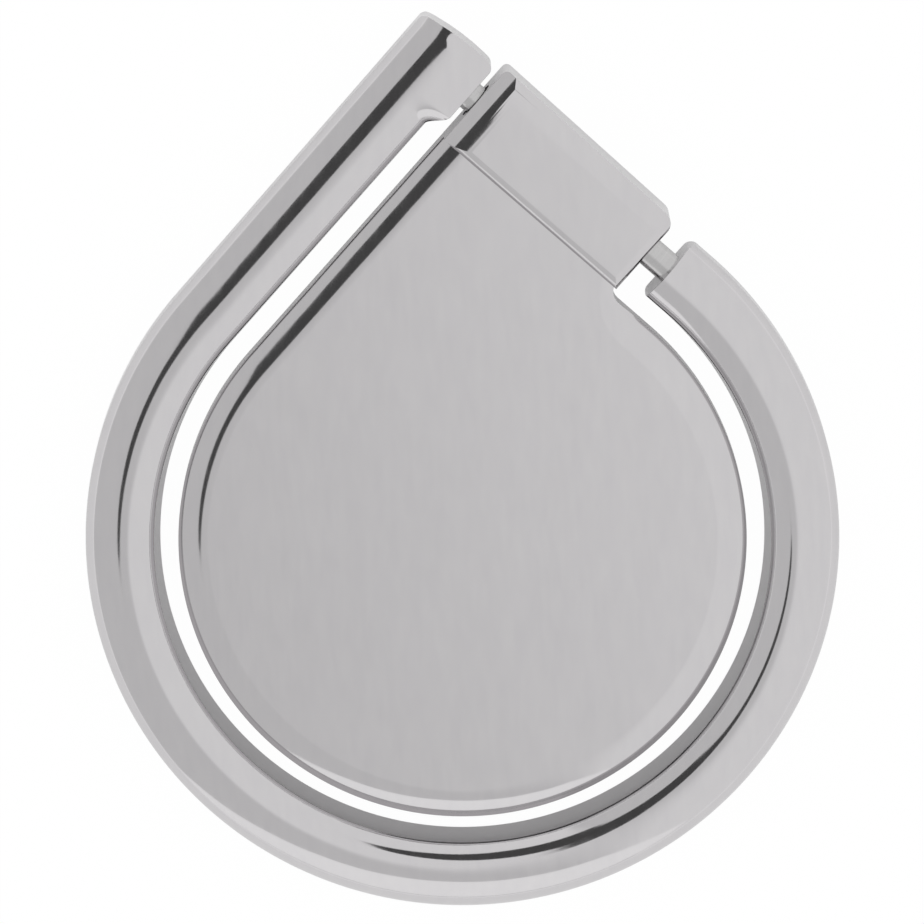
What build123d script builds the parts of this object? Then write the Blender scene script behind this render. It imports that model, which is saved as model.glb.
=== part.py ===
import os
from math import asin, atan, degrees, sin

from build123d import *

# Drop-shaped phone ring, all sizes in millimetres. The pieces are drawn with the hinge pin along X, the
# centre of the plate's round part at the origin and the adhesive face at Z = 0. They are turned at the end
# so that the drop's tip points to +Y.

# Finger ring
ring_outer_radius = 18.8
ring_width = 3.68
ring_thickness = 3.1
ring_underside = 0.5
ring_crest_inset = 2.1
ring_dome_height = 1.5
ring_shoulder_radius = 1.0
ring_fall_drop = 0.75
ring_wall_draft = 0.26
ring_lower_outer_chamfer = 0.5
ring_lower_inner_chamfer = 0.2
ring_leg_flare = 0.15

# Base plate
plate_gap = 0.95
plate_thickness = 2.0
plate_rim_radius = 2.5
plate_rim_run = 1.5
plate_lower_chamfer = 0.25
plate_tip_round = 1.6

# Hinge barrel, cast in one with the plate
barrel_length = 11.3
barrel_height = 3.2
barrel_overhang = 0.4
barrel_skew = 0.2
barrel_edge_radius = 0.3
barrel_outer_corner_radius = 0.7
barrel_tip_corner_radius = 0.3
barrel_root_inset = 0.55
barrel_crown_run = 1.0
barrel_crown_drop = 0.18
barrel_tip_run = 2.0
barrel_tip_drop = 0.5
barrel_tip_edge_radius = 0.15

# Hinge pin and friction sleeve
hinge_inset = 1.7
pin_diameter = 1.5
pin_engagement = 2.65
pin_hole_end_gap = 0.1
pin_chamfer = 0.15
pin_running_clearance = 0.03
sleeve_wall = 0.2
sleeve_slot = 0.35
sleeve_end_inset = 0.15

# Hinge knuckles at the two ends of the ring
tip_end_gap = 0.45
arm_end_gap = 1.45
tip_wall_reach = 0.2
tip_wall_skew = 0.35
tip_wall_bulge = 0.22
tip_lower_chamfer = 1.0
tip_corner_radius = 0.5
arm_corner_radius = 0.45
tip_crown_run = 1.1
tip_crown_drop = 0.16
tip_fall_drop = 0.4
tip_shoulder = 0.6
tip_blend_length = 1.2

# Adhesive pad and its recess
pad_thickness = 1.1
pad_recess = 0.3
pad_margin = 1.3
pad_clearance = 0.15
pad_tip_round = 1.5

# Lengths by which a cutting shape passes the face it trims, and one profile's top clears another's
trim = 0.02
beyond = 1.0
skim = 0.002

# Sizes that follow from the ones above
ring_inner_radius = ring_outer_radius - ring_width
ring_top = ring_underside + ring_thickness
ring_widest = ring_top - ring_dome_height
plate_radius = ring_inner_radius - plate_gap
plate_underside = pad_thickness - pad_recess
plate_face = plate_underside + plate_thickness
barrel_top = plate_underside + barrel_height
hinge_height = plate_underside + barrel_height / 2
hinge_out = ring_outer_radius - hinge_inset
barrel_start = -plate_radius
barrel_end = barrel_start + barrel_length
barrel_root = plate_radius + barrel_root_inset
barrel_out = ring_outer_radius + barrel_overhang
barrel_tip_out = barrel_out + barrel_skew
tip_end = barrel_start - tip_end_gap
arm_end = barrel_end + arm_end_gap
tip_out = ring_outer_radius + tip_wall_reach + tip_wall_bulge
pin_radius = pin_diameter / 2
tip_blend_top = hinge_out - pin_radius - tip_shoulder
sleeve_inner_radius = pin_radius + pin_running_clearance
sleeve_outer_radius = sleeve_inner_radius + sleeve_wall


def at(shape, x, y):
    """The corners of a flat shape that lie at one point."""
    return [v for v in shape.vertices() if abs(v.X - x) < 1e-4 and abs(v.Y - y) < 1e-4]


def along_pin(radius, start, end):
    """A round bar on the hinge line."""
    bar = Cylinder(radius, end - start, rotation=(0, 90, 0))
    return Pos((start + end) / 2, hinge_out, hinge_height) * bar


def drop(radius, tip_round):
    """A circle with one square corner, the outline that plate, recess and pad share."""
    edges = [
        Line((0, radius), (-radius, radius)),
        Line((-radius, radius), (-radius, 0)),
        CenterArc((0, 0), radius, 180, 270),
    ]
    return fillet(at(make_face(edges), -radius, radius), tip_round)


def ring_section(inner, outer, draft, top_drop, fall_drop):
    """The ring's shape cut across: a drafted inner wall, a crest that falls inwards and a dome outwards."""
    low = ring_underside
    top = ring_top - top_drop
    crest = outer - ring_crest_inset
    lower_inner = ring_lower_inner_chamfer
    lower_outer = ring_lower_outer_chamfer

    # The dome is a flat arc that runs into the shoulder, a tighter arc that runs into the outer wall
    shoulder = ring_shoulder_radius
    turn = 2 * atan((top - ring_widest - shoulder) / (ring_crest_inset - shoulder))
    dome = shoulder + (ring_crest_inset - shoulder) / sin(turn)

    run = crest - inner - draft
    fall = (run * run + fall_drop * fall_drop) / (2 * fall_drop)
    return make_face([
        Line((inner + draft, top - fall_drop), (inner, low + lower_inner)),
        Line((inner, low + lower_inner), (inner + lower_inner, low)),
        Line((inner + lower_inner, low), (outer - lower_outer, low)),
        Line((outer - lower_outer, low), (outer, low + lower_outer)),
        Line((outer, low + lower_outer), (outer, ring_widest)),
        CenterArc((outer - shoulder, ring_widest), shoulder, 0, 90 - degrees(turn)),
        CenterArc((crest, top - dome), dome, 90 - degrees(turn), degrees(turn)),
        CenterArc((crest, top - fall), fall, 90, degrees(asin(run / fall))),
    ])


def leg_section(out):
    """The section of the ring's straight leg at a distance out, up to the knuckle at the drop's tip."""
    rise = min(max((out - tip_blend_top) / tip_blend_length + 1, 0), 1)
    share = rise * rise * (3 - 2 * rise)
    crown = max((out - tip_out) / tip_crown_run + 1, 0)
    section = ring_section(
        ring_inner_radius + share * (-tip_end - ring_inner_radius),
        ring_outer_radius + ring_leg_flare * out / tip_out,
        ring_wall_draft * (1 - share),
        tip_crown_drop * crown * crown,
        ring_fall_drop + share * (tip_fall_drop - ring_fall_drop),
    )
    return Plane(origin=(0, out, 0), x_dir=(-1, 0, 0), z_dir=(0, 1, 0)) * section


def finger_ring():
    """One casting: a straight leg with the tip knuckle, the round bow and the short arm with its knuckle."""
    blend_start = tip_blend_top - tip_blend_length
    crown_start = tip_out - tip_crown_run
    crown_length = tip_crown_run + 2 * trim
    leg = loft([leg_section(0), leg_section(blend_start)])
    leg += loft([leg_section(blend_start + tip_blend_length * k / 6) for k in range(7)])
    leg += loft([leg_section(tip_blend_top), leg_section(crown_start)])
    leg += loft([leg_section(crown_start + crown_length * k / 4) for k in range(5)])
    section = ring_section(ring_inner_radius, ring_outer_radius, ring_wall_draft, 0, ring_fall_drop)
    bow = revolve(Plane(origin=(0, 0, 0), x_dir=(-1, 0, 0), z_dir=(0, 1, 0)) * section, Axis.Z, 270)
    arm = extrude(Plane.YZ * section, arm_end - beyond)
    ring = leg + bow + arm

    # The tip knuckle's outer wall bulges, runs out towards the barrel and has rounded upright corners
    left = -ring_outer_radius - ring_leg_flare - trim
    right = tip_end + trim
    middle = (left + right) / 2
    right_side = tip_out - tip_wall_bulge
    left_side = right_side - tip_wall_skew
    low = left_side - 2 * tip_corner_radius
    tip_plan = make_face([
        Line((left, low), (right, low)),
        Line((right, low), (right, right_side)),
        ThreePointArc((right, right_side), (middle, tip_out - tip_wall_skew / 2), (left, left_side)),
        Line((left, left_side), (left, low)),
    ])
    tip_plan = fillet(at(tip_plan, left, left_side) + at(tip_plan, right, right_side), tip_corner_radius)
    around = Pos(middle, low + 2) * Rectangle(right - left + 2 * beyond, 4)
    ring -= extrude(Pos(0, 0, ring_underside - beyond) * (around - tip_plan), ring_thickness + 2 * beyond)

    # Its lower outer edge is cut back, so that the ring swings clear of the phone
    low = ring_underside
    corner = make_face(Polyline(
        (tip_out - tip_lower_chamfer - beyond, low - beyond),
        (tip_out + beyond, low - beyond),
        (tip_out + beyond, low + tip_lower_chamfer + beyond),
        close=True,
    ))
    ring -= extrude(Plane.YZ.offset(left - beyond) * corner, right - left + 2 * beyond, dir=(1, 0, 0))

    # The arm ends square across the pin, with rounded upright corners
    far = ring_outer_radius + trim
    near = ring_inner_radius - trim
    depth = 2 * arm_corner_radius
    arm_plan = Pos(arm_end + depth / 2, (far + near) / 2) * Rectangle(depth, far - near)
    arm_plan = fillet(at(arm_plan, arm_end, far) + at(arm_plan, arm_end, near), arm_corner_radius)
    around = Pos(arm_end + depth - 2, (far + near) / 2) * Rectangle(4, far - near + 2 * beyond)
    ring -= extrude(Pos(0, 0, ring_underside - beyond) * (around - arm_plan), ring_thickness + 2 * beyond)

    # Blind holes that the pin is pressed into
    depth = pin_engagement + pin_hole_end_gap
    ring -= along_pin(pin_radius, tip_end - depth, tip_end + beyond)
    ring -= along_pin(pin_radius, arm_end - beyond, arm_end + depth)
    return ring


def plate_outline(grow):
    """The plate seen from above: a circle with one square corner, which runs on below the hinge barrel."""
    radius = plate_radius + grow
    under_barrel = hinge_out + sleeve_outer_radius + grow
    inside_end = barrel_end - barrel_edge_radius
    outline = make_face([
        Line((0, radius), (inside_end, radius)),
        Line((inside_end, radius), (inside_end, under_barrel)),
        Line((inside_end, under_barrel), (-radius, under_barrel)),
        Line((-radius, under_barrel), (-radius, 0)),
        CenterArc((0, 0), radius, 180, 270),
    ])
    outline = fillet(at(outline, inside_end, radius), barrel_edge_radius)
    outline = fillet(at(outline, inside_end, under_barrel), plate_tip_round)
    return fillet(at(outline, -radius, under_barrel), plate_tip_round + grow)


def base_plate():
    """One casting: the drop-shaped plate and the hinge barrel along its upper right side."""
    plate = extrude(Pos(0, 0, plate_underside) * plate_outline(0), plate_thickness)
    plate = chamfer(plate.faces().sort_by(Axis.Z)[0].edges(), plate_lower_chamfer)

    # The face falls to its rim in a shallow arc: the plate is cut from a wider block with a large fillet
    depth = plate_rim_radius + beyond
    block = extrude(Pos(0, 0, plate_face - depth) * plate_outline(plate_rim_radius - plate_rim_run), depth)
    plate &= fillet(block.faces().sort_by(Axis.Z)[-1].edges(), plate_rim_radius)

    # The barrel seen from above: an outer wall that runs out towards the tip, with rounded corners
    plan = make_face(Polyline(
        (barrel_start, plate_radius),
        (barrel_end, plate_radius),
        (barrel_end, barrel_out),
        (barrel_start, barrel_tip_out),
        close=True,
    ))
    plan = fillet(at(plan, barrel_end, barrel_out), barrel_outer_corner_radius)
    plan = fillet(at(plan, barrel_start, barrel_tip_out), barrel_tip_corner_radius)
    barrel = extrude(Pos(0, 0, plate_underside) * plan, barrel_height)

    # Seen along the plate: a top that falls to the tip end and a small round at the other
    low = plate_underside
    start = barrel_start - 2 * trim
    slope_start = barrel_start + barrel_tip_run
    slope_end = barrel_top - barrel_tip_drop
    walls = Polyline(
        (start, slope_end),
        (start, low + plate_lower_chamfer),
        (barrel_start + plate_lower_chamfer, low),
        (barrel_end - plate_lower_chamfer, low),
        (barrel_end + trim, low + plate_lower_chamfer),
        (barrel_end + trim, barrel_top),
        (slope_start, barrel_top),
    )
    slope = TangentArc((slope_start, barrel_top), (start, slope_end), tangent=(-1, 0))
    side = make_face((walls + slope).edges())
    side = fillet(at(side, start, slope_end), barrel_tip_edge_radius)
    side = fillet(at(side, barrel_end + trim, barrel_top), barrel_edge_radius)
    across = barrel_tip_out + beyond
    barrel &= extrude(Plane.XZ.offset(-across) * side, across, dir=(0, -1, 0))

    # Seen along the pin: an upright wall towards the plate and a top that falls a little to the outer wall
    crown_start = barrel_out - barrel_crown_run
    wall_top = barrel_top - barrel_crown_drop
    far = barrel_tip_out + trim
    top = barrel_top + skim
    walls = Polyline(
        (crown_start, top),
        (barrel_root, top),
        (barrel_root, low - trim),
        (barrel_out - plate_lower_chamfer, low - trim),
        (far, low + plate_lower_chamfer),
        (far, wall_top),
    )
    crown = TangentArc((crown_start, top), (far, wall_top), tangent=(1, 0))
    end = make_face((walls + crown).edges())
    end = fillet(at(end, barrel_root, top), barrel_edge_radius)
    barrel &= extrude(Plane.YZ.offset(barrel_start - beyond) * end, barrel_length + 2 * beyond, dir=(1, 0, 0))

    plate += barrel
    plate -= along_pin(sleeve_outer_radius, barrel_start - beyond, barrel_end + beyond)
    recess = drop(plate_radius - pad_margin, pad_tip_round)
    plate -= extrude(Pos(0, 0, plate_underside - beyond) * recess, beyond + pad_recess)
    return plate


def hinge_pin():
    """A plain steel pin with chamfered ends."""
    pin = along_pin(pin_radius, tip_end - pin_engagement, arm_end + pin_engagement)
    return chamfer(pin.edges().filter_by(GeomType.CIRCLE), pin_chamfer)


def friction_sleeve():
    """A split spring sleeve pressed into the barrel, its slot facing down."""
    start = barrel_start + sleeve_end_inset
    end = barrel_end - sleeve_end_inset
    sleeve = along_pin(sleeve_outer_radius, start, end) - along_pin(sleeve_inner_radius, start, end)
    slot = Box(end - start + beyond, sleeve_slot, sleeve_outer_radius + beyond)
    below = hinge_height - (sleeve_outer_radius + beyond) / 2
    return sleeve - Pos((start + end) / 2, hinge_out, below) * slot


def adhesive_pad():
    """Foam tape cut to the drop shape, standing out of the plate's recess."""
    return extrude(drop(plate_radius - pad_margin - pad_clearance, pad_tip_round), pad_thickness)


os.makedirs("parts", exist_ok=True)
tip_up = Rot(0, 0, -45)
export_step(tip_up * base_plate(), "parts/base_plate.step")
export_step(tip_up * finger_ring(), "parts/finger_ring.step")
export_step(tip_up * hinge_pin(), "parts/hinge_pin.step")
export_step(tip_up * friction_sleeve(), "parts/friction_sleeve.step")
export_step(tip_up * adhesive_pad(), "parts/adhesive_pad.step")
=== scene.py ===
import math

import bmesh
import bpy
from mathutils import Matrix, Vector


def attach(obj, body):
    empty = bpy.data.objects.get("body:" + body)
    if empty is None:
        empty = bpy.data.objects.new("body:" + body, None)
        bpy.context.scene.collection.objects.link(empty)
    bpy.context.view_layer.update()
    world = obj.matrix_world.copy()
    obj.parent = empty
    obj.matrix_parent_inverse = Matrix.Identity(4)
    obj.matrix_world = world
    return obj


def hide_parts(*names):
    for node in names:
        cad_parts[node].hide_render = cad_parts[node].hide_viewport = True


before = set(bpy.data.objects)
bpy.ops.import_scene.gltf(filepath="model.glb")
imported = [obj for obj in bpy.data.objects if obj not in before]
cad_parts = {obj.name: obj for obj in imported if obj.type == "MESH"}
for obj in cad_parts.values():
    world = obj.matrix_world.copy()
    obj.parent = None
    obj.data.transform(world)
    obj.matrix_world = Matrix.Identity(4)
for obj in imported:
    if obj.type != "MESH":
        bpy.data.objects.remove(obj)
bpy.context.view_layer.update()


# Base plate with hinge barrel
# One zinc die casting, polished and nickel plated: a drop-shaped plate with a round rim, and along its upper
# right side a raised block that the hinge pin runs through. Foam tape in a recess below holds it to a phone.
plate_radius = 14.17
plate_bottom = 0.8
plate_top = 2.8
rim_radius = 2.5
rim_run = 1.5
plate_tip_round = 1.6
lower_chamfer = 0.25
barrel_root = 14.72
barrel_start = -14.17
barrel_end = -2.87
barrel_out = 19.2
barrel_tip_out = 19.4
barrel_top = 4.0
barrel_overlap = 0.5
barrel_outer_corner = 0.7
barrel_tip_corner = 0.3
barrel_edge_round = 0.5
tip_slope_run = 0.94
tip_slope_drop = 0.5
tip_slope_round = 2.0
tip_edge_round = 0.15
barrel_crown_run = 0.6
barrel_crown_drop = 0.18
barrel_crown_round = 4.0
edge_inset = 0.1
edge_spread = 1.5
edge_corner_round = 0.8
pin_out = 17.1
pin_height = 2.4
bore_radius = 0.98
recess_radius = 12.87
recess_top = 1.1
recess_tip_round = 1.5
plate_steps = 180
rim_steps = 30
recess_steps = 96

# Pieces are drawn in millimetres with the hinge pin along X, then turned so that the drop's tip points to +Y.
hinge_turn = math.radians(45)
to_row = Matrix.Rotation(-hinge_turn, 4, "Z") @ Matrix.Scale(0.001, 4)
# The drop is round about its middle for three quarters of a turn. A rounding has 8 steps, or 8 for each
# millimetre of its radius if that is more.
middle = (0, 0, 0)
round_part = 270
round_steps = 8
bar_sides = 64
# A cutter starts and ends well past what it cuts, and one that only trims a face goes past it by the trim.
past = 1
trim = 0.02
# Points closer than a speck are one, points within a hair are level, and edges that turn by more than the
# sharp angle are broken.
speck = 0.01
hair = 1e-4
sharp = math.radians(18)


def outline(corners, turn=None):
    """A flat face drawn corner by corner, each a point and a rounding; turn adds an arc back to the start."""
    bm = bmesh.new()
    pen = bm.verts.new(corners[0][0])
    drawn = [pen]
    for point, _ in corners[1:]:
        pen = bmesh.ops.extrude_vert_indiv(bm, verts=[pen])["verts"][0]
        pen.co = point
        drawn.append(pen)
    if turn:
        centre, angle, steps = turn
        made = bmesh.ops.spin(
            bm, geom=[pen], cent=centre, axis=(0, 0, 1), angle=math.radians(angle), steps=steps
        )
        last = [g for g in made["geom_last"] if isinstance(g, bmesh.types.BMVert)][0]
        bmesh.ops.weld_verts(bm, targetmap={last: drawn[0]})
    bmesh.ops.contextual_create(bm, geom=bm.verts[:] + bm.edges[:])
    for corner, (_, radius) in zip(drawn, corners):
        if radius:
            one, other = (e.other_vert(corner).co - corner.co for e in corner.link_edges)
            bmesh.ops.bevel(
                bm, geom=[corner], affect="VERTICES", offset=radius / math.tan(one.angle(other) / 2),
                segments=max(round_steps, round(round_steps * radius)), profile=0.5, material=-1,
                clamp_overlap=False,
            )
    return bm


def thicken(bm, along):
    """Extrudes an outline's face into a solid."""
    made = bmesh.ops.extrude_face_region(bm, geom=bm.faces[:])["geom"]
    bmesh.ops.translate(bm, vec=along, verts=[g for g in made if isinstance(g, bmesh.types.BMVert)])
    bmesh.ops.recalc_face_normals(bm, faces=bm.faces)
    return bm


def along_pin(radius, start, end):
    """A round bar on the hinge line."""
    bm = bmesh.new()
    lying = Matrix.Rotation(math.pi / 2, 4, "Y")
    place = Matrix.Translation(((start + end) / 2, pin_out, pin_height)) @ lying
    bmesh.ops.create_cone(
        bm, cap_ends=True, segments=bar_sides, radius1=radius, radius2=radius, depth=end - start, matrix=place
    )
    return bm


def solid(name, bm):
    """Puts a finished bmesh into a new object."""
    mesh = bpy.data.meshes.new(name)
    bm.to_mesh(mesh)
    bm.free()
    piece = bpy.data.objects.new(name, mesh)
    bpy.context.scene.collection.objects.link(piece)
    return piece


def settle(piece):
    """Keeps what the piece's modifiers make of its mesh, without the empty slots that cutting leaves."""
    made = bpy.data.meshes.new_from_object(piece.evaluated_get(bpy.context.evaluated_depsgraph_get()))
    made.materials.clear()
    piece.modifiers.clear()
    piece.data = made


def combine(piece, tool, operation):
    """Joins two solids, cuts one by the other or keeps what they share, and removes the tool."""
    boolean = piece.modifiers.new("combine", "BOOLEAN")
    boolean.operation = operation
    boolean.solver = "MANIFOLD"
    boolean.object = tool
    settle(piece)
    bpy.data.objects.remove(tool)


def polish(piece, edge):
    """Merges a piece's specks, turns it into the row frame, breaks its sharp edges and shades it smooth."""
    form = bmesh.new()
    form.from_mesh(piece.data)
    bmesh.ops.remove_doubles(form, verts=form.verts, dist=speck)
    bmesh.ops.dissolve_degenerate(form, edges=form.edges, dist=speck)
    form.to_mesh(piece.data)
    form.free()
    piece.data.transform(to_row)
    piece.data.shade_smooth()
    piece.data.set_sharp_from_angle(angle=sharp)
    broken = piece.modifiers.new("broken_edges", "BEVEL")
    broken.width = edge / 1000
    broken.segments = 3
    broken.limit_method = "ANGLE"
    broken.angle_limit = sharp
    broken.harden_normals = True
    flats = piece.modifiers.new("flat_faces", "WEIGHTED_NORMAL")
    flats.keep_sharp = True
    settle(piece)


def plate_form(grow, bottom, top):
    """The plate from above, a circle with one square corner that runs on below the barrel, as a solid."""
    radius = plate_radius + grow
    inside_end = barrel_end - edge_inset + edge_spread * grow
    under_barrel = pin_out + bore_radius + grow
    form = outline(
        [
            ((0, radius, bottom), 0),
            ((inside_end, radius, bottom), edge_corner_round),
            ((inside_end, under_barrel, bottom), plate_tip_round + grow),
            ((-radius, under_barrel, bottom), plate_tip_round + grow),
            ((-radius, 0, bottom), 0),
        ],
        turn=(middle, round_part, plate_steps),
    )
    return thicken(form, (0, 0, top - bottom))


def soften(form, height, offset, steps):
    """Bevels the edges of a solid's flat face at one height."""
    rim = [e for e in form.edges if all(abs(v.co.z - height) < hair for v in e.verts)]
    bmesh.ops.bevel(
        form, geom=rim, affect="EDGES", offset=offset, segments=steps, profile=0.5, material=-1,
        clamp_overlap=False,
    )
    return form


# The face falls to its rim in a shallow arc: the plate is cut from a wider block with a large round.
plate = plate_form(0, plate_bottom, plate_top + past)
base_plate = solid("base_plate_casting", soften(plate, plate_bottom, lower_chamfer, steps=1))
block = plate_form(rim_radius - rim_run, plate_top - rim_radius - past, plate_top)
block = soften(block, plate_top, rim_radius, rim_steps)
combine(base_plate, solid("block", block), "INTERSECT")

# The barrel is what three outlines share: from above, from the side and along the pin.
side_start = 10
side_reach = 10
end_start = -16
end_reach = 15
barrel = solid("barrel", thicken(
    outline([
        ((barrel_start, barrel_root - barrel_overlap, plate_bottom), 0),
        ((barrel_end, barrel_root - barrel_overlap, plate_bottom), 0),
        ((barrel_end, barrel_out, plate_bottom), barrel_outer_corner),
        ((barrel_start, barrel_tip_out, plate_bottom), barrel_tip_corner),
    ]),
    (0, 0, barrel_top + past - plate_bottom),
))
from_side = solid("from_side", thicken(
    outline([
        ((barrel_start - 2 * trim, side_start, plate_bottom + lower_chamfer), 0),
        ((barrel_start + lower_chamfer, side_start, plate_bottom), 0),
        ((barrel_end - lower_chamfer, side_start, plate_bottom), 0),
        ((barrel_end + trim, side_start, plate_bottom + lower_chamfer), 0),
        ((barrel_end + trim, side_start, barrel_top), barrel_edge_round),
        ((barrel_start + tip_slope_run, side_start, barrel_top), tip_slope_round),
        ((barrel_start - 2 * trim, side_start, barrel_top - tip_slope_drop), tip_edge_round),
    ]),
    (0, side_reach, 0),
))
combine(barrel, from_side, "INTERSECT")
from_end = solid("from_end", thicken(
    outline([
        ((end_start, barrel_root, plate_bottom - trim), 0),
        ((end_start, barrel_out - lower_chamfer, plate_bottom - trim), 0),
        ((end_start, barrel_tip_out + trim, plate_bottom + lower_chamfer), 0),
        ((end_start, barrel_tip_out + trim, barrel_top - barrel_crown_drop), 0),
        ((end_start, barrel_tip_out - barrel_crown_run, barrel_top), barrel_crown_round),
        ((end_start, barrel_root, barrel_top), barrel_edge_round),
    ]),
    (end_reach, 0, 0),
))
combine(barrel, from_end, "INTERSECT")
combine(base_plate, barrel, "UNION")
bore = along_pin(bore_radius, barrel_start - past, barrel_end + past)
combine(base_plate, solid("bore", bore), "DIFFERENCE")
recess = outline(
    [
        ((0, recess_radius, plate_bottom - past), 0),
        ((-recess_radius, recess_radius, plate_bottom - past), recess_tip_round),
        ((-recess_radius, 0, plate_bottom - past), 0),
    ],
    turn=(middle, round_part, recess_steps),
)
recess = thicken(recess, (0, 0, past + recess_top - plate_bottom))
combine(base_plate, solid("recess", recess), "DIFFERENCE")
polish(base_plate, edge=0.1)


def linear(colour):
    """An sRGB hex colour as linear RGBA."""
    parts = [int(colour[i:i + 2], 16) / 255 for i in (1, 3, 5)]
    return [p / 12.92 if p <= 0.04045 else ((p + 0.055) / 1.055) ** 2.4 for p in parts] + [1]


def new_finish(name):
    """A new material and its node tree."""
    material = bpy.data.materials.new(name)
    material.use_nodes = True
    return material, material.node_tree


def add(tree, kind, inputs=None, **settings):
    """Adds a node with its settings, input values and links."""
    node = tree.nodes.new(kind)
    for name, value in settings.items():
        setattr(node, name, value)
    for name, value in (inputs or {}).items():
        if isinstance(value, bpy.types.NodeSocket):
            tree.links.new(value, node.inputs[name])
        else:
            node.inputs[name].default_value = value
    return node


# Several sockets of a mix node have the same name, so a mix of two colours is linked by their numbers.
mix_share = 0
mix_dark = 6
mix_light = 7
mix_colour = 2

# Bright nickel on polished zinc: a mirror with a faint haze in strokes from the polishing wheel, drawn coarse
# enough to show, and a very shallow waviness that makes the reflected lines swell and thin.
stroke_width = 0.5
stroke_length = 2
wave_length = 3.03
wave_height = 0.01
plating, tree = new_finish("nickel_plated_zinc")
shader = tree.nodes["Principled BSDF"]
shader.inputs["Metallic"].default_value = 1
place = add(tree, "ShaderNodeTexCoord")
grit = (1000 / stroke_width, 1000 / stroke_length, 1000 / stroke_width)
strokes = add(tree, "ShaderNodeMapping", {"Vector": place.outputs["Object"], "Scale": grit})
haze = add(tree, "ShaderNodeTexNoise", {"Vector": strokes.outputs[0], "Scale": 1, "Detail": 3})
tone = add(
    tree, "ShaderNodeMix",
    {mix_share: haze.outputs[0], mix_dark: linear("#C4C2C4"), mix_light: linear("#CBC9CA")},
    data_type="RGBA",
)
dull = add(tree, "ShaderNodeMapRange", {"Value": haze.outputs[0], "To Min": 0.05, "To Max": 0.13})
waves = add(
    tree, "ShaderNodeTexNoise", {"Vector": place.outputs["Object"], "Scale": 1000 / wave_length, "Detail": 1}
)
wavy = add(
    tree, "ShaderNodeBump", {"Strength": 1, "Distance": wave_height / 1000, "Height": waves.outputs[0]}
)
tree.links.new(tone.outputs[mix_colour], shader.inputs["Base Color"])
tree.links.new(dull.outputs[0], shader.inputs["Roughness"])
tree.links.new(wavy.outputs[0], shader.inputs["Normal"])
base_plate.data.materials.append(plating)
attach(base_plate, "base")
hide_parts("base_plate")


# Friction sleeve
# A split tube rolled from spring steel strip and pressed into the barrel's bore, where it grips the pin so
# that the ring stays at any angle. It is hidden, but for its edge in the gaps at the barrel's ends.
sleeve_inner = 0.78
sleeve_inset = 0.15
slot_half = 0.175
sleeve_start = barrel_start + sleeve_inset
sleeve_end = barrel_end - sleeve_inset
friction_sleeve = solid("friction_sleeve_strip", along_pin(bore_radius, sleeve_start, sleeve_end))
hollow = solid("hollow", along_pin(sleeve_inner, sleeve_start - past, sleeve_end + past))
combine(friction_sleeve, hollow, "DIFFERENCE")
slot = outline([
    ((sleeve_start - past, pin_out - slot_half, pin_height - 2 * past), 0),
    ((sleeve_start - past, pin_out + slot_half, pin_height - 2 * past), 0),
    ((sleeve_start - past, pin_out + slot_half, pin_height), 0),
    ((sleeve_start - past, pin_out - slot_half, pin_height), 0),
])
slot = thicken(slot, (sleeve_end - sleeve_start + 2 * past, 0, 0))
combine(friction_sleeve, solid("slot", slot), "DIFFERENCE")
polish(friction_sleeve, edge=0.02)

# Blue-grey rolled spring steel with a blotched film of oil: a half-dull metal.
blotch_size = 1
strip, tree = new_finish("oiled_spring_steel")
shader = tree.nodes["Principled BSDF"]
shader.inputs["Metallic"].default_value = 1
place = add(tree, "ShaderNodeTexCoord")
film = add(
    tree, "ShaderNodeTexNoise", {"Vector": place.outputs["Object"], "Scale": 1000 / blotch_size, "Detail": 3}
)
tone = add(
    tree, "ShaderNodeMix",
    {mix_share: film.outputs[0], mix_dark: linear("#8C8D92"), mix_light: linear("#A2A3A6")},
    data_type="RGBA",
)
dull = add(tree, "ShaderNodeMapRange", {"Value": film.outputs[0], "To Min": 0.25, "To Max": 0.45})
tree.links.new(tone.outputs[mix_colour], shader.inputs["Base Color"])
tree.links.new(dull.outputs[0], shader.inputs["Roughness"])
friction_sleeve.data.materials.append(strip)
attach(friction_sleeve, "base")
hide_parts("friction_sleeve")


# Finger ring
# One zinc die casting like the plate: a domed band that runs from the knuckle at the drop's tip down a
# straight leg, round the plate and back to a second knuckle. The pin is pressed into a blind hole in each.
ring_outer = 18.8
ring_inner = 15.12
ring_low = 0.5
ring_high = 3.6
widest = 2.1
crest_inset = 2.1
shoulder = 1.0
fall_drop = 0.75
wall_draft = 0.26
outer_chamfer = 0.5
inner_chamfer = 0.2
leg_flare = 0.15
tip_end = -14.62
tip_wall = 19.0
tip_skew = 0.35
tip_bulge = 0.22
tip_out = tip_wall + tip_bulge
tip_fall_drop = 0.4
blend_low = 14.55
blend_high = 15.75
tip_crown_run = 1.1
tip_crown_drop = 0.16
tip_corner_round = 0.5
tip_corner_reach = 1.4
tip_lower_chamfer = 1.0
arm_end = -1.42
arm_corner_round = 0.45
arm_corner_reach = 0.9
pin_radius = 0.75
pin_hole_depth = 2.75
bow_steps = 200
bulge_steps = 6
cutter_height = 6


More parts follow.
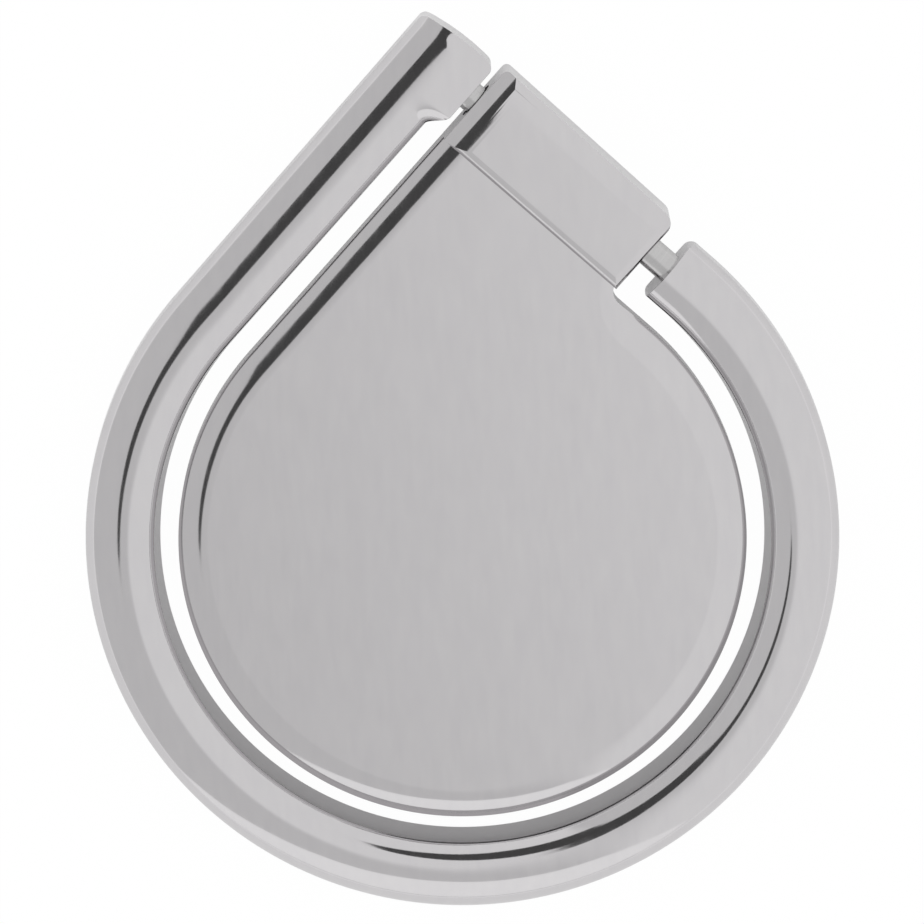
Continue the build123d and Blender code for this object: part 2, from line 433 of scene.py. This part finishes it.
def band(inner, outer, draft, top, drop):
    """The band's section, as distances from the middle and heights: inner wall, fall, dome and outer wall."""
    crest = outer - crest_inset
    run = crest - inner - draft
    fall = (run * run + drop * drop) / (2 * drop)
    lean = math.degrees(math.asin(run / fall))
    turn = math.degrees(2 * math.atan((top - widest - shoulder) / (crest_inset - shoulder)))
    dome = shoulder + (crest_inset - shoulder) / math.sin(math.radians(turn))
    points = [(inner, ring_low + inner_chamfer)]
    for x, z, radius, start, end, steps in (
        (crest, top - fall, fall, 90 + lean, 90, 16),
        (crest, top - dome, dome, 90, 90 - turn, 16),
        (outer - shoulder, widest, shoulder, 90 - turn, 0, 14),
    ):
        for k in range(steps):
            angle = math.radians(start + (end - start) * k / steps)
            points.append((x + radius * math.cos(angle), z + radius * math.sin(angle)))
    points += [(outer, widest), (outer, ring_low + outer_chamfer), (outer - outer_chamfer, ring_low)]
    points.append((inner + inner_chamfer, ring_low))
    return points


def leg_band(out):
    """The leg's section: it flares, its inner wall steps in at the knuckle and its top falls at the tip."""
    share = min(max((out - blend_low) / (blend_high - blend_low), 0), 1)
    share = share * share * (3 - 2 * share)
    crown = max((out - tip_out) / tip_crown_run + 1, 0)
    return band(
        ring_inner + share * (-tip_end - ring_inner),
        ring_outer + leg_flare * out / tip_out,
        wall_draft * (1 - share),
        ring_high - tip_crown_drop * crown * crown,
        fall_drop + share * (tip_fall_drop - fall_drop),
    )


def draw_on(bm, loop, place):
    """Extrudes a closed loop of vertices one step, and puts the new loop where place says."""
    edges = [bm.edges.get((a, b)) for a, b in zip(loop, loop[1:] + loop[:1])]
    made = bmesh.ops.extrude_edge_only(bm, edges=edges)["geom"]
    fresh = {v for v in made if isinstance(v, bmesh.types.BMVert)}
    grown = [next(e.other_vert(v) for e in v.link_edges if e.other_vert(v) in fresh) for v in loop]
    for vert, point in zip(grown, place):
        vert.co = point
    return grown


form = bmesh.new()
section = band(ring_inner, ring_outer, wall_draft, ring_high, fall_drop)
first = [form.verts.new((-r, 0, z)) for r, z in section]
for a, b in zip(first, first[1:] + first[:1]):
    form.edges.new((a, b))
bow = bmesh.ops.spin(
    form, geom=first + form.edges[:], cent=middle, axis=(0, 0, 1), angle=math.radians(round_part),
    steps=bow_steps,
)
last = [v for v in bow["geom_last"] if isinstance(v, bmesh.types.BMVert)]
loop = [min(last, key=lambda v: math.hypot(v.co.y - r, v.co.z - z)) for r, z in section]
loop = draw_on(form, loop, [(arm_end - past, r, z) for r, z in section])
bmesh.ops.contextual_create(form, geom=loop)
loop = first
stations = [4, 8, 12, blend_low]
stations += [blend_low + (blend_high - blend_low) * k / 12 for k in range(1, 13)]
stations += [16, 16.8, tip_out - tip_crown_run]
stations += [tip_out - tip_crown_run * (1 - k / 8) for k in range(1, 9)] + [tip_out + 2 * trim]
for out in stations:
    loop = draw_on(form, loop, [(-r, out, z) for r, z in leg_band(out)])
bmesh.ops.contextual_create(form, geom=loop)
bmesh.ops.recalc_face_normals(form, faces=form.faces)
finger_ring = solid("finger_ring_casting", form)

# The tip's outer wall bulges and runs out towards the barrel, and the upright corners of both ends are round.
# The tip's lower edge is cut back so that the ring swings clear of the phone.
left = -ring_outer - leg_flare - trim
right = tip_end + trim
chord = Vector((left - right, -tip_skew, 0))
half = chord.length / 2
bow_radius = (half * half + tip_bulge * tip_bulge) / (2 * tip_bulge)
bow_angle = 2 * math.degrees(math.asin(half / bow_radius))
outwards = Vector((chord.y, -chord.x, 0)).normalized()
bow_centre = Vector((right, tip_wall, 0)) + chord / 2 + (tip_bulge - bow_radius) * outwards
around_tip = outline(
    [
        ((left, tip_wall - tip_skew, 0), tip_corner_round),
        ((left, tip_wall - tip_corner_reach, 0), 0),
        ((left - past, tip_wall - tip_corner_reach, 0), 0),
        ((left - past, tip_wall + 3 * past, 0), 0),
        ((right + past, tip_wall + 3 * past, 0), 0),
        ((right + past, tip_wall - tip_corner_reach, 0), 0),
        ((right, tip_wall - tip_corner_reach, 0), 0),
        ((right, tip_wall, 0), tip_corner_round),
    ],
    turn=(bow_centre, bow_angle, bulge_steps),
)
around_tip = thicken(around_tip, (0, 0, cutter_height))
combine(finger_ring, solid("around_tip", around_tip), "DIFFERENCE")
below_tip = outline([
    ((left - past, tip_out - tip_lower_chamfer - past, ring_low - past), 0),
    ((left - past, tip_out + past, ring_low - past), 0),
    ((left - past, tip_out + past, ring_low + tip_lower_chamfer + past), 0),
])
below_tip = thicken(below_tip, (right - left + 2 * past, 0, 0))
combine(finger_ring, solid("below_tip", below_tip), "DIFFERENCE")
far = ring_outer + trim
near = ring_inner - trim
around_arm = outline([
    ((arm_end + arm_corner_reach, far, 0), 0),
    ((arm_end + arm_corner_reach, far + past, 0), 0),
    ((arm_end - 3 * past, far + past, 0), 0),
    ((arm_end - 3 * past, near - past, 0), 0),
    ((arm_end + arm_corner_reach, near - past, 0), 0),
    ((arm_end + arm_corner_reach, near, 0), 0),
    ((arm_end, near, 0), arm_corner_round),
    ((arm_end, far, 0), arm_corner_round),
])
around_arm = thicken(around_arm, (0, 0, cutter_height))
combine(finger_ring, solid("around_arm", around_arm), "DIFFERENCE")
pin_holes = ((tip_end - pin_hole_depth, tip_end + past), (arm_end - past, arm_end + pin_hole_depth))
for start, end in pin_holes:
    combine(finger_ring, solid("pin_hole", along_pin(pin_radius, start, end)), "DIFFERENCE")
polish(finger_ring, edge=0.08)
finger_ring.data.materials.append(plating)
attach(finger_ring, "ring")
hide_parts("finger_ring")


# Hinge pin
# A hard steel pin, ground and plated, with chamfered ends. It is pressed into the ring's two ends, turns in
# the sleeve, and shows in the gaps beside the barrel.
pin_engagement = 2.65
pin_chamfer = 0.15
form = along_pin(pin_radius, tip_end - pin_engagement, arm_end + pin_engagement)
ends = [e for e in form.edges if abs(e.verts[0].co.x - e.verts[1].co.x) < hair]
bmesh.ops.bevel(form, geom=ends, affect="EDGES", offset=pin_chamfer, segments=2, profile=0.5, material=-1)
hinge_pin = solid("hinge_pin_steel", form)
polish(hinge_pin, edge=0.03)

# Ground steel with thin plating: rings round the pin from the grinding wheel, drawn coarse enough to show.
grind_spacing = 0.0625
grind_length = 3.33
steel, tree = new_finish("ground_pin_steel")
shader = tree.nodes["Principled BSDF"]
shader.inputs["Metallic"].default_value = 1
place = add(tree, "ShaderNodeTexCoord")
lathe = add(tree, "ShaderNodeVectorRotate", {"Vector": place.outputs["Object"], "Angle": hinge_turn})
grit = (1000 / grind_spacing, 1000 / grind_length, 1000 / grind_length)
rings = add(tree, "ShaderNodeMapping", {"Vector": lathe.outputs[0], "Scale": grit})
ground = add(tree, "ShaderNodeTexNoise", {"Vector": rings.outputs[0], "Scale": 1, "Detail": 2})
tone = add(
    tree, "ShaderNodeMix",
    {mix_share: ground.outputs[0], mix_dark: linear("#B4B3B3"), mix_light: linear("#C8C7C7")},
    data_type="RGBA",
)
dull = add(tree, "ShaderNodeMapRange", {"Value": ground.outputs[0], "To Min": 0.1, "To Max": 0.24})
tree.links.new(tone.outputs[mix_colour], shader.inputs["Base Color"])
tree.links.new(dull.outputs[0], shader.inputs["Roughness"])
hinge_pin.data.materials.append(steel)
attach(hinge_pin, "ring")
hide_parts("hinge_pin")


# Adhesive pad
# Acrylic foam tape punched to the drop shape and stuck into the shallow recess below the plate. It stands out
# of the recess and holds the plate to a phone's back.
pad_radius = 12.72
pad_top = 1.1
pad_tip_round = 1.5
pad_steps = 120
form = outline(
    [
        ((0, pad_radius, 0), 0),
        ((-pad_radius, pad_radius, 0), pad_tip_round),
        ((-pad_radius, 0, 0), 0),
    ],
    turn=(middle, round_part, pad_steps),
)
adhesive_pad = solid("adhesive_pad_foam", thicken(form, (0, 0, pad_top)))
polish(adhesive_pad, edge=0.05)

# Black acrylic foam: matt and slightly uneven, with closed cells drawn coarse enough to show.
cell_size = 0.25
pit_depth = 0.06
foam, tree = new_finish("black_acrylic_foam")
shader = tree.nodes["Principled BSDF"]
shader.inputs["Roughness"].default_value = 0.8
shader.inputs["IOR"].default_value = 1.48
place = add(tree, "ShaderNodeTexCoord")
cells = add(tree, "ShaderNodeTexVoronoi", {"Vector": place.outputs["Object"], "Scale": 1000 / cell_size})
tone = add(
    tree, "ShaderNodeMix",
    {mix_share: cells.outputs[0], mix_dark: linear("#1E1E20"), mix_light: linear("#333335")},
    data_type="RGBA",
)
pits = add(
    tree, "ShaderNodeBump", {"Strength": 0.6, "Distance": pit_depth / 1000, "Height": cells.outputs[0]}
)
tree.links.new(tone.outputs[mix_colour], shader.inputs["Base Color"])
tree.links.new(pits.outputs[0], shader.inputs["Normal"])
adhesive_pad.data.materials.append(foam)
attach(adhesive_pad, "base")
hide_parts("adhesive_pad")


# Photographer's table, light and camera
# In metres: a white table with the ring flat on it, under a wide soft light, weaker to the left. The camera
# looks down from slightly beyond the drop's tip. Dark flags below the light give the metal its dark lines.
tilt_up, tilt_left, roll = (math.radians(a) for a in (11.5, 0.35, 3.7))
distance = 0.363
picture_pixels = 924
pixels_per_metre = 20110
ring_middle = Vector((0, 0.0035, 0.0025))
aim_right = 0.000194
aim_up = 0.000551
table_half = 1.5
table_drop = 0.00002
light_height = 0.5
bounce_height = 0.49
flag_height = 0.48
image_up = Vector((math.sin(roll), math.cos(roll), 0))
image_right = Vector((math.cos(roll), -math.sin(roll), 0))
towards = Vector((0, 0, 1)) + math.tan(tilt_up) * image_up - math.tan(tilt_left) * image_right
towards.normalize()
aim = ring_middle + aim_right * image_right + aim_up * image_up
right_axis = image_up.cross(towards).normalized()
up_axis = towards.cross(right_axis)
camera = bpy.data.objects.new("camera", bpy.data.cameras.new("camera"))
camera.data.sensor_width = 36
camera.data.lens = pixels_per_metre * distance * camera.data.sensor_width / picture_pixels
camera.data.clip_start = 0.01
camera.matrix_world = Matrix.Translation(aim + distance * towards) @ Matrix(
    (right_axis, up_axis, towards)
).transposed().to_4x4()
bpy.context.scene.collection.objects.link(camera)
bpy.context.scene.camera = camera
bpy.context.scene.view_settings.view_transform = "Standard"

form = bmesh.new()
level = Matrix.Translation((0, 0, -table_drop))
bmesh.ops.create_grid(form, x_segments=1, y_segments=1, size=table_half, matrix=level)
table = solid("table", form)

# Matt white paper: the camera sees it almost evenly white with a trace of shadow, and the metal partly so.
seen_white = 0.98
mirrored_white = 0.2
paper, tree = new_finish("white_paper")
tree.nodes.clear()
path = add(tree, "ShaderNodeLightPath")
direct = add(tree, "ShaderNodeMath", {0: path.outputs["Is Camera Ray"], 1: seen_white}, operation="MULTIPLY")
share = add(
    tree, "ShaderNodeMath", {0: path.outputs["Is Glossy Ray"], 1: mirrored_white, 2: direct.outputs[0]},
    operation="MULTIPLY_ADD",
)
matt = add(tree, "ShaderNodeBsdfDiffuse", {"Color": linear("#F4F4F4")})
glow = add(tree, "ShaderNodeEmission", {"Color": (1, 1, 1, 1), "Strength": 1})
both = add(tree, "ShaderNodeMixShader", {0: share.outputs[0], 1: matt.outputs[0], 2: glow.outputs[0]})
add(tree, "ShaderNodeOutputMaterial", {"Surface": both.outputs[0]})
table.data.materials.append(paper)


def overhead(name, height, corners):
    """A flat card above the table, drawn in degrees from straight above, rounded in shares of its height."""
    points = []
    for right_angle, up_angle, rounding in corners:
        lean = math.radians(math.hypot(right_angle, up_angle))
        reach = math.tan(lean) / lean
        points.append(((math.radians(right_angle) * reach, math.radians(up_angle) * reach, 0), rounding))
    card = solid(name, outline(points))
    card.data.transform(Matrix((
        (*(height * image_right), 0), (*(height * image_up), 0), (0, 0, height, 0), (0, 0, height, 1)
    )).transposed())
    card.visible_camera = card.visible_diffuse = card.visible_shadow = card.visible_transmission = False
    return card


ceiling = overhead("soft_light", light_height, [(-62, -62, 0), (62, -62, 0), (62, 62, 0), (-62, 62, 0)])

# White silk lit from behind, a little stronger to the upper right.
brighter_side = 0.92 * image_right + 0.4 * image_up
silk, tree = new_finish("white_silk_lit_from_behind")
tree.nodes.clear()
place = add(tree, "ShaderNodeTexCoord")
across = add(
    tree, "ShaderNodeVectorMath", {0: place.outputs["Object"], 1: brighter_side}, operation="DOT_PRODUCT"
)
ramp = add(
    tree, "ShaderNodeMapRange",
    {"Value": across.outputs["Value"], "From Min": -0.1, "From Max": 0.02, "To Min": 0.77, "To Max": 1.0},
    interpolation_type="SMOOTHSTEP",
)
glow = add(tree, "ShaderNodeEmission", {"Color": (1, 1, 1, 1), "Strength": ramp.outputs[0]})
add(tree, "ShaderNodeOutputMaterial", {"Surface": glow.outputs[0]})
ceiling.data.materials.append(silk)

bounce = overhead("bounce_card", bounce_height, [
    (-60, -66, 0), (-43, -61, 0), (-15, -46, 0.05), (0, -40, 0.2), (15, -47, 0.05), (43, -70, 0),
    (30, -80, 0), (-30, -80, 0),
])

# White board in full light, a little brighter than the silk.
board, tree = new_finish("bright_white_board")
tree.nodes.clear()
glow = add(tree, "ShaderNodeEmission", {"Color": (1, 1, 1, 1), "Strength": 1.15})
add(tree, "ShaderNodeOutputMaterial", {"Surface": glow.outputs[0]})
bounce.data.materials.append(board)

# Black felt that still sends back a little of the studio's light.
felt, tree = new_finish("black_felt")
tree.nodes.clear()
glow = add(tree, "ShaderNodeEmission", {"Color": (1, 1, 1, 1), "Strength": 0.08})
add(tree, "ShaderNodeOutputMaterial", {"Surface": glow.outputs[0]})
flags = {
    "upper_flag": [
        (17, 38, 0.05), (8, 49, 0.1), (-10, 52, 0.1), (-26, 44, 0.1), (-22, 30, 0.1), (-17, 12, 0.05),
        (-11, 4, 0.04), (-5, 4, 0.03), (-7, 12, 0.1), (-10, 20, 0.1), (-4, 25, 0.1), (11, 28, 0.08),
    ],
    "side_flag": [
        (-10, 6, 0.02), (-13, 12, 0.05), (-17, 18, 0.05), (-19, 23, 0.05), (-19, 27, 0.05), (-23, 36, 0.05),
        (-27, 31, 0.05), (-35, 20, 0.05), (-28, 8, 0.05), (-29, -4, 0.1), (-24, -14, 0.05), (-19, -12, 0.05),
        (-19, -2, 0.05), (-16, 3, 0.02),
    ],
}
for name, corners in flags.items():
    overhead(name, flag_height, corners).data.materials.append(felt)

world = bpy.data.worlds.new("studio")
world.use_nodes = True
world.node_tree.nodes["Background"].inputs["Color"].default_value = (1, 1, 1, 1)
world.node_tree.nodes["Background"].inputs["Strength"].default_value = 1.1
bpy.context.scene.world = world
